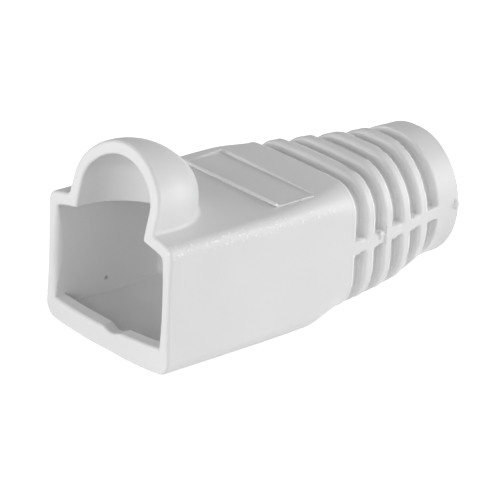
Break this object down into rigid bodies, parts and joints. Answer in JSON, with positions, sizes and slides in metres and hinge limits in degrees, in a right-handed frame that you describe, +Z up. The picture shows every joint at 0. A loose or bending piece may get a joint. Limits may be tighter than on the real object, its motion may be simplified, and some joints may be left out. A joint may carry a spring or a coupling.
{
  "type": "modular plug strain relief boot",
  "caption": "Slip-on boot for a modular data plug, with a latch hood, a plug socket at the front and a tapered, ribbed tail that the cable runs through.",
  "frame": {"origin": "under the middle of the bounding box, on the surface the boot stands on", "axes": "+X from the plug socket to the cable end, +Z up through the latch hood, +Y across"},
  "size_m": [0.028, 0.014, 0.0149],
  "materials": {
    "boot_pvc": "satin moulded soft PVC, light grey"
  },
  "bodies": {
    "root": {"boot": "boot_pvc"}
  },
  "joints": []
}
